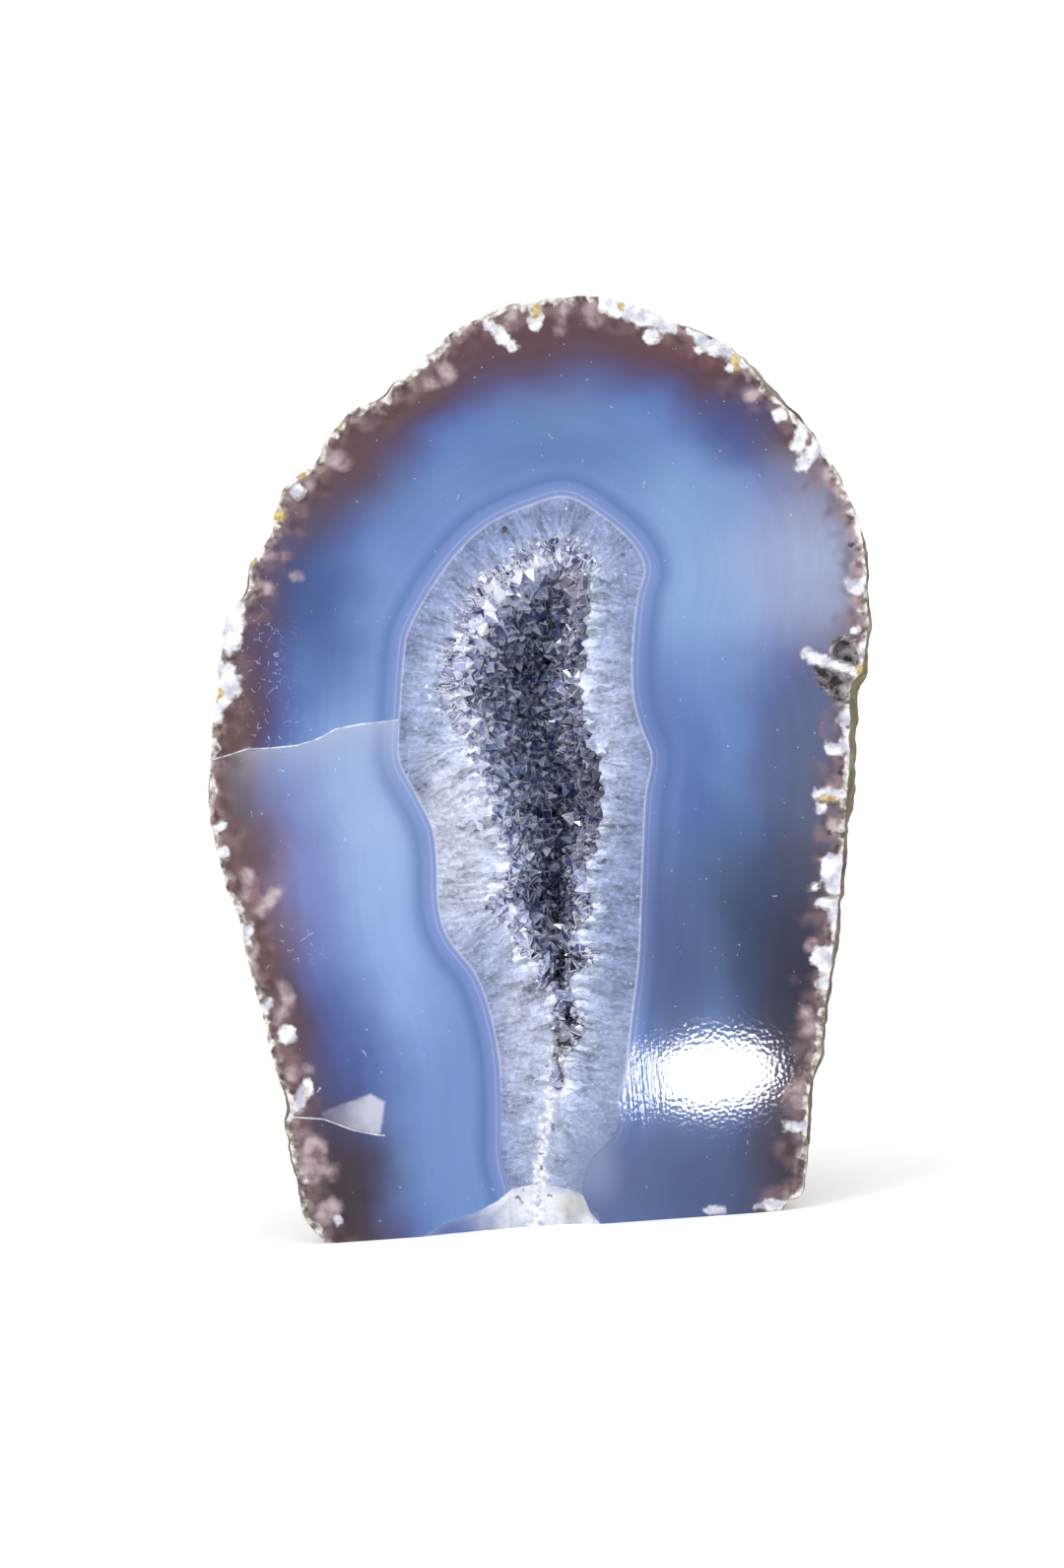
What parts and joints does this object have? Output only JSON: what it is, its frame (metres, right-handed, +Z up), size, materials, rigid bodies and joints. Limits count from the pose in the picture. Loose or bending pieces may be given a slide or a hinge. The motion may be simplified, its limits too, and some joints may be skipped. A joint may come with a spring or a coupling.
{
  "type": "geode half",
  "caption": "Half of an agate geode: polished banded cut face, hollow lined with quartz crystals, rough natural skin, sawn flat base to stand on.",
  "frame": {"origin": "middle of the sawn base plane under the whole piece: halfway across it and halfway from front to back", "axes": "+Z up, -Y out of the polished cut face, +X to the right as the eye faces the cut"},
  "size_m": [0.0862, 0.0615, 0.1174],
  "materials": {
    "banded_agate": "polished",
    "quartz_crystal": "gloss"
  },
  "bodies": {
    "root": {"agate_stone": "banded_agate", "quartz_crust": "quartz_crystal"}
  },
  "joints": []
}
